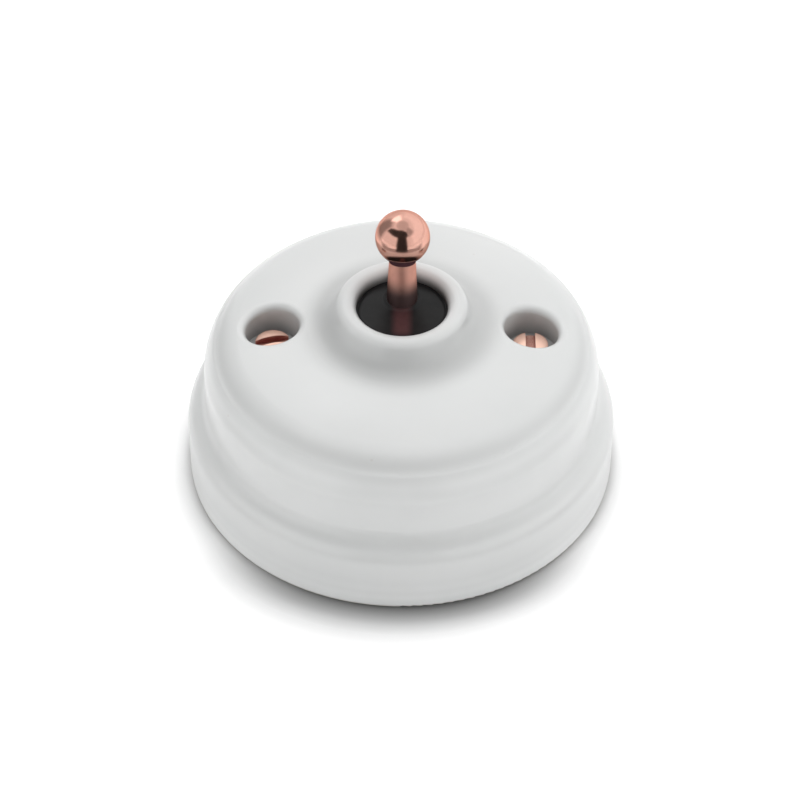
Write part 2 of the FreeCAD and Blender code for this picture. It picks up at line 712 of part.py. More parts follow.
def make_shield():
    """Round dished shield on the lever, centred on the pivot, that closes the slot from below."""
    body = new_body("lever_shield")
    inner = "(%s - shield_thickness)" % SHIELD_RADIUS
    hole = "shield_hole_radius"
    outline = [
        (hole, "sqrt(%s ^ 2 - %s ^ 2)" % (inner, hole), inner, -1),
        ("%s * sin(%s)" % (inner, SHIELD_ANGLE), "%s * cos(%s)" % (inner, SHIELD_ANGLE)),
        ("%s * sin(%s)" % (SHIELD_RADIUS, SHIELD_ANGLE), "%s * cos(%s)" % (SHIELD_RADIUS, SHIELD_ANGLE),
         SHIELD_RADIUS, 1),
        (hole, "sqrt(%s ^ 2 - %s ^ 2)" % (SHIELD_RADIUS, hole)),
    ]
    turn(body, "shield_turned", draw(new_sketch(body, "shield_profile", "XZ_Plane"), outline))
    return lean(body)


def make_plunger():
    body = new_body("plunger")
    outline = [
        ("0", "-plunger_reach - plunger_tip_radius", "plunger_tip_radius", 1),
        ("plunger_tip_radius", "-plunger_reach"),
        ("bore_radius - fit_gap", "-plunger_shoulder"),
        ("bore_radius - fit_gap", "-plunger_top"),
        ("0", "-plunger_top"),
    ]
    turn(body, "plunger_turned", draw(new_sketch(body, "plunger_profile", "XZ_Plane"), outline))
    return lean(body)


def make_spring():
    body = new_body("plunger_spring")
    low = "-plunger_top + spring_wire / 2 + fit_gap"
    wire = new_sketch(body, "spring_wire_circle", "XZ_Plane")
    circles(wire, [("spring_radius", low, "spring_wire / 2")])
    coil = body.newObject("PartDesign::AdditiveHelix", "spring_coil")
    coil.Profile = wire
    coil.ReferenceAxis = (wire, ["V_Axis"])
    coil.Mode = 1
    room = "(plunger_top - bore_top - spring_wire - 2 * fit_gap)"
    coil.Turns = val("spring_turns")
    coil.Height = val(room)
    bind(coil, "Height", room)
    bind(coil, "Turns", "spring_turns")
    coil.Mode = 2
    return lean(body)


def tip(obj):
    """Stand an object of the rocker's own frame on its knife edge at the resting tilt."""
    return place(obj, "0", "0", ROCKER_Z, X_AXIS, "rocker_tilt")


def rocker_outline():
    """Side outline of the folded contact blade, its centre bend lifted above the knife edge."""
    rise_angle = "arm_rise * 1 deg"
    low_bend = "%s * sin(%s) + (blade_level + %s * cos(%s)) / tan(%s)" % (
        BEND_OUTER, rise_angle, BEND_OUTER, rise_angle, rise_angle)
    high_bend = "bend_inner * sin(%s) + (blade_level + blade + bend_inner * cos(%s)) / tan(%s)" % (
        rise_angle, rise_angle, rise_angle)
    outer_x = "%s * sin(%s)" % (BEND_OUTER, rise_angle)
    outer_z = "keel_offset - %s * cos(%s)" % (BEND_OUTER, rise_angle)
    inner_x = "bend_inner * sin(%s)" % rise_angle
    inner_z = "keel_offset - bend_inner * cos(%s)" % rise_angle
    high = BLADE_LOW + " + blade"
    return [
        ("-(%s)" % outer_x, outer_z, BEND_OUTER, 1),
        (outer_x, outer_z),
        (low_bend, BLADE_LOW),
        (BLADE_REACH, BLADE_LOW),
        (BLADE_REACH, high),
        (high_bend, high),
        (inner_x, inner_z, "bend_inner", -1),
        ("-(%s)" % inner_x, inner_z),
        ("-(%s)" % high_bend, high),
        ("-" + BLADE_REACH, high),
        ("-" + BLADE_REACH, BLADE_LOW),
        ("-(%s)" % low_bend, BLADE_LOW),
    ]


def make_rocker():
    body = new_body("rocker")
    profile = draw(new_sketch(body, "rocker_profile", "YZ_Plane"), rocker_outline())
    width = "2 * (%s - blade_inset)" % STRIP_HALF
    pad(body, "rocker_blade", profile, width, True)
    keel = circles(new_sketch(body, "keel_circle", "YZ_Plane"), [("0", "0", "keel_radius")])
    pad(body, "rocker_keel", keel, width, True)
    return tip(body)


def make_rocker_contacts():
    made = []
    for tag, sign in (("back", ""), ("front", "-")):
        body = new_body("rocker_contact_" + tag)
        outline = [
            ("0", BLADE_LOW + " - contact_height", DOME_BALL, 1),
            ("contact_radius", BLADE_LOW),
            ("0", BLADE_LOW),
        ]
        profile = new_sketch(body, "rocker_contact_profile_" + tag, "XZ_Plane")
        turn(body, "rocker_contact_turned_" + tag, draw(profile, outline))
        made.append(place(body, "0", sign + CONTACT_ARM, "0"))
    return tip(group("rocker_contacts", made))


def make_strips():
    end = "(%s - strip_end_gap)" % SHELF_END
    start = "(%s - strip_lead)" % CONTACT_ARM
    levels = (FLOOR, STRIP_TOP)
    across = ("-" + STRIP_HALF, STRIP_HALF)
    saddle = ("-saddle_half_length", "saddle_half_length")
    back = box("strip_back", *across, start, end, *levels)
    left = ("-%s - %s" % (TERMINAL_X, STRIP_HALF), "-%s + %s" % (TERMINAL_X, STRIP_HALF))
    front_parts = [
        box("strip_front_inner", *across, "-chamber_half_length + 0.3", "-" + start, *levels),
        box("strip_front_outer", *left, "-" + end, "-" + CONTACT_ARM, *levels),
    ]
    front = fuse("strip_front", front_parts)
    plate_start = "%s - %s" % (TERMINAL_X, STRIP_HALF)
    plate_end = "-%s - 0.2" % PARTITION_END
    rail_parts = [
        box("rail_run", RAIL_INSIDE, RAIL_OUTSIDE, "-" + end, "saddle_half_length", *levels),
        box("rail_cross", "-" + STRIP_HALF, RAIL_OUTSIDE, *saddle, *levels),
        box("rail_plate", plate_start, RAIL_OUTSIDE, "-" + end, plate_end, *levels),
        box("rail_saddle", *across, *saddle, FLOOR, "%s - saddle_drop" % ROCKER_Z),
    ]
    groove = cross_rod("saddle_groove", "keel_radius + fit_gap", "%s + 1" % STRIP_HALF, "0", ROCKER_Z)
    common = cut("strip_common", fuse("rail_blank", rail_parts), [groove])
    anvils = []
    for tag, sign in (("back", ""), ("front", "-")):
        top = STRIP_TOP + " + anvil_height"
        anvils.append(rod("anvil_" + tag, "anvil_radius", STRIP_TOP, top, "0", sign + CONTACT_ARM))
    return back, front, common, group("fixed_contacts", anvils)


def make_terminal(name, x, sign):
    """Terminal block with a wire hole along Y and a clamping screw from above; sign picks the end."""
    y = "%s%s" % (sign, TERMINAL_Y)
    half_x = TERMINAL_WIDTH + " / 2"
    half_y = "terminal_depth / 2"
    wire_z = "%s + wire_hole_level" % STRIP_TOP
    block = box(name + "_block", "%s - %s" % (x, half_x), "%s + %s" % (x, half_x),
                "%s - %s" % (y, half_y), "%s + %s" % (y, half_y), STRIP_TOP, TERMINAL_TOP)
    wire_y = "%s + %s + 1" % (y, half_y)
    wire = wire_rod(name + "_wire", "wire_hole_radius", "terminal_depth + 2", x, wire_y, wire_z)
    thread = rod(name + "_thread", "terminal_screw_radius + fit_gap", wire_z, TERMINAL_TOP + " + 1", x, y)
    screw = name + "_screw"
    shank_low = wire_z + " + wire_hole_radius"
    head_low = TERMINAL_TOP + " + 0.3"
    head_top = head_low + " + terminal_head_height"
    parts = [
        rod(screw + "_shank", "terminal_screw_radius", shank_low, head_low + " + 0.5", x, y),
        rod(screw + "_head", "terminal_head_radius", head_low, head_top, x, y),
    ]
    reach = "(terminal_head_radius + 1)"
    slot = box(screw + "_slot", "%s - %s" % (x, reach), "%s + %s" % (x, reach), y + " - 0.4", y + " + 0.4",
               head_low + " + terminal_head_height / 2", head_top + " + 0.7")
    return cut(name, block, [wire, thread]), cut(screw, fuse(screw + "_blank", parts), [slot])


def make_terminals():
    back, back_screw = make_terminal("terminal_back", "0", "")
    front, front_screw = make_terminal("terminal_front", "-" + TERMINAL_X, "-")
    common, common_screw = make_terminal("terminal_common", TERMINAL_X, "-")
    return back, front, common, group("terminal_screws", [back_screw, front_screw, common_screw])


def build():
    strips = make_strips()
    terminals = make_terminals()
    fixings = make_housing_fixings()
    return [
        make_cover(), make_base(), make_cover_screws(), make_pillars(), make_housing(), make_lid(),
        make_lid_screws(), fixings[0], fixings[1], make_pin(), make_lever(), make_shield(), make_plunger(),
        make_spring(), make_rocker(), make_rocker_contacts(), *strips, *terminals,
    ]


nodes = build()
doc.recompute()
faults = [o.Name for o in doc.Objects if "Invalid" in o.State or "Error" in o.State]
for node in nodes:
    node.Label = node.Name
    if node.Shape.isNull() or not node.Shape.isValid():
        faults.append(node.Name + " shape")
if faults:
    raise RuntimeError("not built: " + ", ".join(faults))
os.makedirs("parts", exist_ok=True)
for node in nodes:
    node.Shape.exportStep("parts/%s.step" % node.Label)
    print(node.Label, len(node.Shape.Solids), round(node.Shape.Volume, 2))
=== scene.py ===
import json
import math

import bpy
from mathutils import Matrix, Vector


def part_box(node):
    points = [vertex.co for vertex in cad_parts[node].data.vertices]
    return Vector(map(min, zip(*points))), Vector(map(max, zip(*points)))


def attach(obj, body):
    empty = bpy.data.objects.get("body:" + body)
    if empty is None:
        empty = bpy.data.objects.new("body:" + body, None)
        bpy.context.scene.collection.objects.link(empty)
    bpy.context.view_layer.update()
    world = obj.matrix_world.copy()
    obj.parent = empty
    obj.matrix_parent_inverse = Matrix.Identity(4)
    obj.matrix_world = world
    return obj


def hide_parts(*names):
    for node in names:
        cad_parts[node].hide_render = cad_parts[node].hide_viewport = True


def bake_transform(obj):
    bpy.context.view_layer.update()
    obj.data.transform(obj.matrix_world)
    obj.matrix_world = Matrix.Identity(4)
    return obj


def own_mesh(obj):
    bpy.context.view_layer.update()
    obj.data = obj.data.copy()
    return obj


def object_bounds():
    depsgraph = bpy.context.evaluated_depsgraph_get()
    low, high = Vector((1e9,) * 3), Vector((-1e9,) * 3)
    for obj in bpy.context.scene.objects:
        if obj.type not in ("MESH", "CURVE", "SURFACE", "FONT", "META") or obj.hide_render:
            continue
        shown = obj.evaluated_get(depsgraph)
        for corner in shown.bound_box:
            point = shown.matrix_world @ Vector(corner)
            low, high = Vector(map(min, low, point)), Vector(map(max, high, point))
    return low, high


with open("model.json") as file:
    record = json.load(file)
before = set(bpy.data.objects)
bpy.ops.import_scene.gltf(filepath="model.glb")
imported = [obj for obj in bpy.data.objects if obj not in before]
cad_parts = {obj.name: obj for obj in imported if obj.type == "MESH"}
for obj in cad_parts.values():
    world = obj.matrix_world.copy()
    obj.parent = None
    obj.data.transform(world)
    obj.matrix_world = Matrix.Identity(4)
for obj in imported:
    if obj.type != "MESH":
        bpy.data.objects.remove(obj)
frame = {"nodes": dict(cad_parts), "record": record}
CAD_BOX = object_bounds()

SCENE = bpy.context.scene
NODES = frame["nodes"]

# Lengths are in metres, and the stops of a tone are in millimetres.
MILLIMETRE = 0.001

# Camera fitted to the photograph: angles, distance, aim, and focal length in pixels of an 800-pixel frame.
VIEW_ELEVATION = math.radians(44.04)
VIEW_ROLL = math.radians(0.5)
VIEW_DISTANCE = 0.550
VIEW_AIM = Vector((-0.00022, 0.0, 0.0137))
FOCAL_PIXELS = 2929.7
FRAME_PIXELS = 800.0
SENSOR_WIDTH = 36.0

# Places on the lever: the middle of the knob, the pivot and the line between them.
KNOB_RADIUS = 0.005
KNOB = Vector((0.0, *(edge - KNOB_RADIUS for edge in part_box("lever")[1][1:])))
PIVOT = Vector((0.0, 0.0, 0.026))
AXIS = (KNOB - PIVOT).normalized()

# The lever's finish. The stem and the painted shade at its foot fade in at distances from the middle of the
# knob.
# A painted dark band under the knob, shade and the reflection of the dark hole below, fades in and out at
# drops below it, along the lever.
STEM_FADE = (KNOB_RADIUS + 0.00001, KNOB_RADIUS + 0.00004)
FOOT_SHADE_FADE = (KNOB_RADIUS + 0.0026, KNOB_RADIUS + 0.0066)
UNDER_KNOB_SHADE_IN = (0.0029, 0.0034)
UNDER_KNOB_SHADE_OUT = (0.00492, 0.0048)

# Painted light and shade on the glaze. The stops round the collar are (distance from the axis, tone) and
# paint shade in the hollow round it, and the stops up the outer wall are (height, tone): painted shade in the
# creases and painted light on the bands and at the foot.
TONE_SPAN = 40.0
COLLAR_SHADE_TONES = [(11.6, 1.0), (12.4, 0.81), (13.4, 0.73), (14.8, 0.73), (16.4, 0.78), (18.2, 0.94), (20.0, 1.0)]
WALL_LIGHT_AND_SHADE_TONES = [
    (0.6, 1.30), (2.0, 1.21), (4.0, 1.08), (6.5, 1.0), (11.5, 0.99), (13.2, 1.05), (22.0, 1.03),
    (24.0, 1.11), (26.2, 1.12), (28.2, 1.02), (29.6, 0.92), (31.2, 1.0),
]
WALL_FADE = (0.0305, 0.0315)
GLAZE_FADE = (0.0002, 0.0009)

# Share of a speck's radius that is solid.
SPECK_CORE = 0.4

# Painted shade in the throat, with the dark reflection of the hole, and in the screw wells, as (radius, lower
# height, upper height, least tone).
WELL_OFFSET = 0.02373
THROAT_SHADE = (0.0098, 0.0364, 0.0388, 0.30)
WELL_SHADE = (0.0056, 0.0255, 0.0325, 0.62)

# Diaphragm over the slot. The sleeve's rings are (rise, distance from the stem), and the stem is looked for
# from a reach outside it. The painted reddish streak, light standing in for the lever's copper seen dimly in
# the hole, fades out across half its width and half its length.
SEAL_COUNT = 96
SEAL_STEPS = 16
SEAL_FOOT = 0.0080
SEAL_BEVEL = 0.00795
SEAL_EDGE = 0.0074
SEAL_THICKNESS = 0.00006
SEAL_LIFT = 0.0002
SEAL_GAP = 0.0007
STEM_REACH = 0.01
SLEEVE = [(0.0001, 0.00045), (0.0002, 0.00025), (0.00028, 0.00012), (0.0003, -0.00003)]
STREAK_WIDTH_FADE = (0.0024, 0.0006)
STREAK_LENGTH_FADE = (0.0078, 0.0055)

# Light levels. Each lamp is a soft square that points at the part from an azimuth and an elevation,
# both in degrees. Azimuth 0 is the camera's side and 90 is the part's right.
SKY = 0.13
LAMP_DISTANCE = 1.5
LAMP_AIM = Vector((0.0, 0.0, 0.02))
LAMPS = {
    # name: (azimuth, elevation, side in metres, watts)
    "lamp_top": (0.0, 90.0, 0.8, 3.6),
    "lamp_back_high": (180.0, 65.0, 0.8, 5.4),
    "lamp_right_high": (110.0, 65.0, 0.8, 2.3),
    "lamp_left_high": (250.0, 65.0, 0.8, 2.3),
    "lamp_back": (180.0, 40.0, 0.8, 3.2),
    "lamp_back_right": (130.0, 40.0, 0.8, 3.4),
    "lamp_left": (275.0, 40.0, 0.8, 2.6),
    "lamp_front": (0.0, 40.0, 0.8, 1.8),
    "lamp_right": (85.0, 18.0, 0.5, 2.6),
    "lamp_front_low": (0.0, 6.0, 0.3, 5.2),
    "lamp_left_low": (275.0, 6.0, 0.3, 1.6),
    "lamp_right_low": (85.0, 6.0, 0.3, 1.6),
}

# Floor. Its tones, a painted contact shadow, are (distance from the part's edge, tone), beside the part and
# in front of it.
# Its glow, for the white background, starts at the edge, or a little way from it in front.
FLOOR_HALF = 0.7
SIDE_SHADOW_TONES = [(0.0, 0.70), (1.5, 0.90), (4.0, 0.97)]
FRONT_SHADOW_TONES = [(0.0, 0.23), (1.3, 0.38), (2.4, 0.50), (3.4, 0.60), (4.5, 0.72), (6.6, 0.86), (12.0, 0.97)]
FRONT_FADE = (-0.022, -0.042)
GLOW = 0.3
GLOW_WIDTH = 0.0075
GLOW_FRONT_GAP = 0.003

# Studio tent, shown only to reflections. Each panel is a run of stations as seen from the knob:
# azimuth, lowest elevation and highest elevation in degrees. Later panels stand a little nearer.
TENT_DISTANCE = 0.9
TENT_LAYER = 0.01
TENT_FLOOR_GAP = 0.001
TENT_FLOOR_LAYER = 0.0004
TENT_STEP = 5.0
TENT_ROWS = 14
TENT = {
    # name: (brightness, cells of soft edge, stations)
    "tent_ground": (0.44, 3, [(-95, -38, -11), (85, -38, -11)]),
    "tent_opening": (0.03, 1, [(-27, -28, 42), (22, -28, 42)]),
    "tent_arch": (0.04, 1, [
        (-92, 24, 44), (-80, 30, 54), (-60, 32, 62), (-24, 33, 69), (0, 33, 71), (19, 35, 66), (34, 42, 58),
    ]),
    "tent_left": (0.34, 3, [(-148, -26, 58), (-88, -26, 58)]),
    "tent_brow": (0.50, 2, [(28, 34, 70), (78, 40, 74)]),
    "tent_top": (0.70, 3, [(-180, 66, 90), (180, 66, 90)]),
    "tent_right": (1.22, 3, [(36, -4, 36), (70, -4, 46), (110, -4, 60), (186, -4, 60)]),
    "tent_lamp": (2.0, 2, [(-178, 32, 66), (-126, 36, 66)]),
}


def new_material(name):
    material = bpy.data.materials.new(name)
    material.use_nodes = True
    tree = material.node_tree
    tree.nodes.clear()
    out = tree.nodes.new("ShaderNodeOutputMaterial")
    shader = tree.nodes.new("ShaderNodeBsdfPrincipled")
    tree.links.new(shader.outputs["BSDF"], out.inputs["Surface"])
    return material, tree, shader


def point(tree):
    """The shaded point in the part's frame, as it lies at rest."""
    return tree.nodes.new("ShaderNodeTexCoord").outputs["Object"]


def coordinate(tree, letter):
    """The shaded point's X, Y or Z in the part's frame, as it lies at rest."""
    split = tree.nodes.new("ShaderNodeSeparateXYZ")
    tree.links.new(point(tree), split.inputs["Vector"])
    return split.outputs[letter]


def noise(tree, scale, detail=4.0, roughness=0.55):
    node = tree.nodes.new("ShaderNodeTexNoise")
    node.inputs["Scale"].default_value = scale
    node.inputs["Detail"].default_value = detail
    node.inputs["Roughness"].default_value = roughness
    tree.links.new(point(tree), node.inputs["Vector"])
    return node.outputs["Fac"]


def ramp(tree, source, stops):
    """Colour from stops of (place from 0 to 1, colour)."""
    node = tree.nodes.new("ShaderNodeValToRGB")
    elements = node.color_ramp.elements
    while len(elements) < len(stops):
        elements.new(0.5)
    for element, (place, colour) in zip(elements, stops):
        element.position = place
        element.color = (*colour, 1.0)
    tree.links.new(source, node.inputs["Fac"])
    return node.outputs["Color"]


def spread(tree, source, low, high):
    """A number from 0 to 1 spread between two values."""
    node = tree.nodes.new("ShaderNodeMapRange")
    node.inputs["To Min"].default_value = low
    node.inputs["To Max"].default_value = high
    tree.links.new(source, node.inputs["Value"])
    return node.outputs["Result"]


def fade(tree, source, start, end):
    """0 on the start's side, 1 on the end's side and a soft change between them."""
    node = tree.nodes.new("ShaderNodeMapRange")
    node.interpolation_type = "SMOOTHSTEP"
    node.inputs["From Min"].default_value = start
    node.inputs["From Max"].default_value = end
    tree.links.new(source, node.inputs["Value"])
    return node.outputs["Result"]


def combine(tree, operation, a, b):
    """Two numbers, each a socket or a float, put together by a math operation."""
    node = tree.nodes.new("ShaderNodeMath")
    node.operation = operation
    for socket, source in zip(node.inputs, (a, b)):
        if isinstance(source, float):
            socket.default_value = source
        else:
            tree.links.new(source, socket)
    return node.outputs["Value"]


def multiply(tree, a, b):
    return combine(tree, "MULTIPLY", a, b)


def vector_math(tree, operation, source, value=None):
    node = tree.nodes.new("ShaderNodeVectorMath")
    node.operation = operation
    if value is not None:
        node.inputs[1].default_value = value
    tree.links.new(source, node.inputs[0])
    return node


def mix(tree, share, a, b):
    """Colours a and b, each a socket or a tuple, mixed by a share."""
    node = tree.nodes.new("ShaderNodeMix")
    node.data_type = "RGBA"
    tree.links.new(share, node.inputs["Factor"])
    for socket, source in ((node.inputs[6], a), (node.inputs[7], b)):
        if isinstance(source, tuple):
            socket.default_value = (*source, 1.0)
        else:
            tree.links.new(source, socket)
    return node.outputs[2]


def bump(tree, shader, source, distance):
    node = tree.nodes.new("ShaderNodeBump")
    node.inputs["Distance"].default_value = distance
    tree.links.new(source, node.inputs["Height"])
    tree.links.new(node.outputs["Normal"], shader.inputs["Normal"])


def knob_distance(tree):
    """Distance from the middle of the knob."""
    return vector_math(tree, "DISTANCE", point(tree), KNOB).outputs["Value"]


def knob_drop(tree):
    """Distance below the middle of the knob, along the lever."""
    along = vector_math(tree, "DOT_PRODUCT", point(tree), -AXIS).outputs["Value"]
    return combine(tree, "ADD", along, float(KNOB.dot(AXIS)))


def flat_distance(tree, x, mirrored):
    """Distance, seen from above, from an upright line at x, or from that line and its mirror image."""
    source = point(tree)
    if mirrored:
        source = vector_math(tree, "ABSOLUTE", source).outputs["Vector"]
    source = vector_math(tree, "SUBTRACT", source, (x, 0.0, 0.0)).outputs["Vector"]
    source = vector_math(tree, "MULTIPLY", source, (1.0, 1.0, 0.0)).outputs["Vector"]
    return vector_math(tree, "LENGTH", source).outputs["Value"]


def specks(tree, scale, radius, share):
    """1 on a share of round specks, 0 elsewhere. The radius is a part of the spacing."""
    cells = tree.nodes.new("ShaderNodeTexVoronoi")
    cells.inputs["Scale"].default_value = scale
    tree.links.new(point(tree), cells.inputs["Vector"])
    split = tree.nodes.new("ShaderNodeSeparateColor")
    tree.links.new(cells.outputs["Color"], split.inputs["Color"])
    chosen = combine(tree, "LESS_THAN", split.outputs["Red"], share)
    dots = fade(tree, cells.outputs["Distance"], radius, radius * SPECK_CORE)
    return multiply(tree, dots, chosen)


def tones(tree, length, stops, curve):
    """Tone at a length, from stops of (millimetres, tone)."""
    share = combine(tree, "DIVIDE", length, TONE_SPAN * MILLIMETRE)
    grey = ramp(tree, share, [(place / TONE_SPAN, (tone, tone, tone)) for place, tone in stops])
    grey.node.color_ramp.interpolation = curve
    return grey


def shade_down(tree, distance, radius, low, high, least):
    """1 outside a radius. Inside it the tone falls from 1 at the upper height to the least at the lower."""
    inside = combine(tree, "LESS_THAN", distance, radius)
    depth = combine(tree, "SUBTRACT", 1.0, fade(tree, coordinate(tree, "Z"), low, high))
    loss = multiply(tree, multiply(tree, inside, depth), 1.0 - least)
    return combine(tree, "SUBTRACT", 1.0, loss)


def wall_light_and_shade(tree, from_axis):
    """Painted light and shade on the glaze of the outer wall, and 1 inside it."""
    change = combine(tree, "SUBTRACT", tones(tree, coordinate(tree, "Z"), WALL_LIGHT_AND_SHADE_TONES, "EASE"), 1.0)
    outside = fade(tree, from_axis, *WALL_FADE)
    return combine(tree, "ADD", multiply(tree, change, outside), 1.0)


def glaze_light_and_shade(tree):
    """Painted light and shade on the glaze, as a share of its plain tone: shade round the collar, in the
    throat, the wells and the creases, light on the rest of the wall.
    """
    from_axis = flat_distance(tree, 0.0, False)
    # Painted shade round the collar, in the throat and in the screw wells.
    collar_painted_shade = tones(tree, from_axis, COLLAR_SHADE_TONES, "B_SPLINE")
    throat = shade_down(tree, from_axis, *THROAT_SHADE)
    wells = shade_down(tree, flat_distance(tree, WELL_OFFSET, True), *WELL_SHADE)
    return multiply(tree, multiply(tree, collar_painted_shade, wall_light_and_shade(tree, from_axis)), multiply(tree, throat, wells))


def porcelain():
    """White glaze with painted shade round the collar, in the throat, the wells and the creases, painted
    light low on the wall, faint clouding, kiln specks and pinholes, and a bare foot.
    """
    material, tree, shader = new_material("glazed_porcelain")
    cloud = ramp(tree, noise(tree, 45.0, 3.0), [(0.3, (0.685, 0.697, 0.693)), (0.7, (0.71, 0.718, 0.714))])
    dots = specks(tree, 150.0, 0.05, 0.35)
    toned = vector_math(tree, "SCALE", mix(tree, dots, cloud, (0.655, 0.65, 0.635)))
    tree.links.new(glaze_light_and_shade(tree), toned.inputs["Scale"])
    grain = ramp(tree, noise(tree, 900.0), [(0.3, (0.60, 0.585, 0.55)), (0.7, (0.67, 0.655, 0.62))])
    glazed = fade(tree, coordinate(tree, "Z"), *GLAZE_FADE)
    tree.links.new(mix(tree, glazed, grain, toned.outputs["Vector"]), shader.inputs["Base Color"])
    gloss = spread(tree, noise(tree, 120.0), 0.26, 0.36)
    bare = multiply(tree, combine(tree, "SUBTRACT", 1.0, glazed), 0.5)
    tree.links.new(combine(tree, "ADD", gloss, bare), shader.inputs["Roughness"])
    shader.inputs["Coat Weight"].default_value = 0.25
    shader.inputs["Coat Roughness"].default_value = 0.12
    ripple = noise(tree, 160.0, 2.0)
    pits = multiply(tree, specks(tree, 210.0, 0.035, 0.3), 0.35)
    bump(tree, shader, combine(tree, "SUBTRACT", ripple, pits), 0.00003)
    return material


def copper():
    """Copper plate: a polished knob with a painted dark band of shade and reflection under it, and a satin
    stem with turned lines and painted shade at its foot.
    """
    material, tree, shader = new_material("copper_plate")
    away = knob_distance(tree)
    stem = fade(tree, away, *STEM_FADE)
    foot = fade(tree, away, *FOOT_SHADE_FADE)
    below = knob_drop(tree)
    # Painted shade and dark reflection in a band under the knob.
    knob_band_shade = multiply(tree, fade(tree, below, *UNDER_KNOB_SHADE_IN), fade(tree, below, *UNDER_KNOB_SHADE_OUT))
    bright = ramp(tree, noise(tree, 300.0), [(0.3, (0.68, 0.375, 0.30)), (0.7, (0.74, 0.415, 0.335))])
    satin = ramp(tree, noise(tree, 420.0), [(0.3, (0.74, 0.39, 0.31)), (0.7, (0.82, 0.45, 0.36))])
    plated = mix(tree, stem, bright, satin)
    # Painted shade where the stem goes down into the hole.
    shaded_foot_colour = mix(tree, foot, plated, (0.13, 0.085, 0.083))
    tree.links.new(mix(tree, knob_band_shade, shaded_foot_colour, (0.070, 0.032, 0.038)), shader.inputs["Base Color"])
    shader.inputs["Specular IOR Level"].default_value = 0.0
    tree.links.new(combine(tree, "SUBTRACT", 1.0, knob_band_shade), shader.inputs["Metallic"])
    shader.inputs["Specular Tint"].default_value = (0.62, 0.46, 0.42, 1.0)
    polish = spread(tree, noise(tree, 700.0), 0.13, 0.18)
    dulled = multiply(tree, combine(tree, "MAXIMUM", stem, knob_band_shade), 0.42)
    tree.links.new(combine(tree, "ADD", polish, dulled), shader.inputs["Roughness"])
    lines = tree.nodes.new("ShaderNodeTexNoise")
    lines.noise_dimensions = "1D"
    lines.inputs["Scale"].default_value = 9000.0
    lines.inputs["Detail"].default_value = 1.0
    tree.links.new(away, lines.inputs["W"])
    turned = multiply(tree, lines.outputs["Fac"], stem)
    bump(tree, shader, combine(tree, "ADD", turned, noise(tree, 1500.0, 2.0)), 0.000003)
    return material


def screw_copper():
    """Satin copper plate with painted shade, dark and reddish, down in the driver slots."""
    material, tree, shader = new_material("copper_screws")
    tint = ramp(tree, noise(tree, 450.0), [(0.3, (0.90, 0.58, 0.46)), (0.7, (0.96, 0.64, 0.52))])
    # Painted shade: the slot hollows are darkened by their occlusion.
    hollow = tree.nodes.new("ShaderNodeAmbientOcclusion")
    hollow.samples = 2
    hollow.inputs["Distance"].default_value = 0.0022
    unshaded_share = fade(tree, hollow.outputs["AO"], 0.55, 0.9)
    tree.links.new(mix(tree, unshaded_share, (0.28, 0.06, 0.05), tint), shader.inputs["Base Color"])
    shader.inputs["Metallic"].default_value = 0.5
    tree.links.new(spread(tree, noise(tree, 800.0), 0.38, 0.48), shader.inputs["Roughness"])
    bump(tree, shader, noise(tree, 2500.0, 2.0), 0.000003)
    return material


def phenolic():
    """Black moulded plastic, smooth and rather dull."""
    material, tree, shader = new_material("black_phenolic")
    tint = ramp(tree, noise(tree, 260.0), [(0.3, (0.006, 0.006, 0.0065)), (0.7, (0.010, 0.010, 0.0105))])
    tree.links.new(tint, shader.inputs["Base Color"])
    tree.links.new(spread(tree, noise(tree, 500.0), 0.26, 0.36), shader.inputs["Roughness"])
    shader.inputs["Specular IOR Level"].default_value = 0.18
    bump(tree, shader, noise(tree, 420.0, 2.0), 0.000004)
    return material


def rubber():
    """Dull black rubber with a faint bloom, and a painted reddish streak along the lever's track, standing in
    for the lever's copper lit dimly in the hole.
    """
    material, tree, shader = new_material("black_rubber")
    bloom = ramp(tree, noise(tree, 380.0), [(0.3, (0.0065, 0.0065, 0.007)), (0.7, (0.011, 0.011, 0.011))])
    off_x = combine(tree, "ABSOLUTE", coordinate(tree, "X"), 0.0)
    off_y = combine(tree, "ABSOLUTE", coordinate(tree, "Y"), 0.0)
    # Painted reddish streak along the track: light standing in for the lever's copper seen dimly in the hole.
    streak_area = multiply(tree, fade(tree, off_x, *STREAK_WIDTH_FADE), fade(tree, off_y, *STREAK_LENGTH_FADE))
    track = multiply(tree, streak_area, spread(tree, noise(tree, 900.0), 0.7, 1.0))
    tree.links.new(mix(tree, track, bloom, (0.09, 0.037, 0.038)), shader.inputs["Base Color"])
    tree.links.new(spread(tree, noise(tree, 600.0), 0.28, 0.38), shader.inputs["Roughness"])
    shader.inputs["Specular IOR Level"].default_value = 0.16
    bump(tree, shader, noise(tree, 900.0, 2.0), 0.000002)
    return material


def metal(name, low, high, rough_low, rough_high):
    """Plain metal, its tint and its roughness each varied between two values."""
    material, tree, shader = new_material(name)
    tint = ramp(tree, noise(tree, 350.0), [(0.3, low), (0.7, high)])
    tree.links.new(tint, shader.inputs["Base Color"])
    shader.inputs["Metallic"].default_value = 1.0
    tree.links.new(spread(tree, noise(tree, 800.0), rough_low, rough_high), shader.inputs["Roughness"])
    bump(tree, shader, noise(tree, 2200.0, 2.0), 0.000003)
    return material


def nylon():
    """Off-white nylon with a slight grain."""
    material, tree, shader = new_material("white_nylon")
    tint = ramp(tree, noise(tree, 500.0), [(0.3, (0.66, 0.64, 0.57)), (0.7, (0.72, 0.70, 0.63))])
    tree.links.new(tint, shader.inputs["Base Color"])
    tree.links.new(spread(tree, noise(tree, 900.0), 0.4, 0.55), shader.inputs["Roughness"])
    bump(tree, shader, noise(tree, 1800.0, 2.0), 0.000004)
    return material


def give_material(node, material):
    mesh = NODES[node].data
    mesh.materials.clear()
    mesh.materials.append(material)


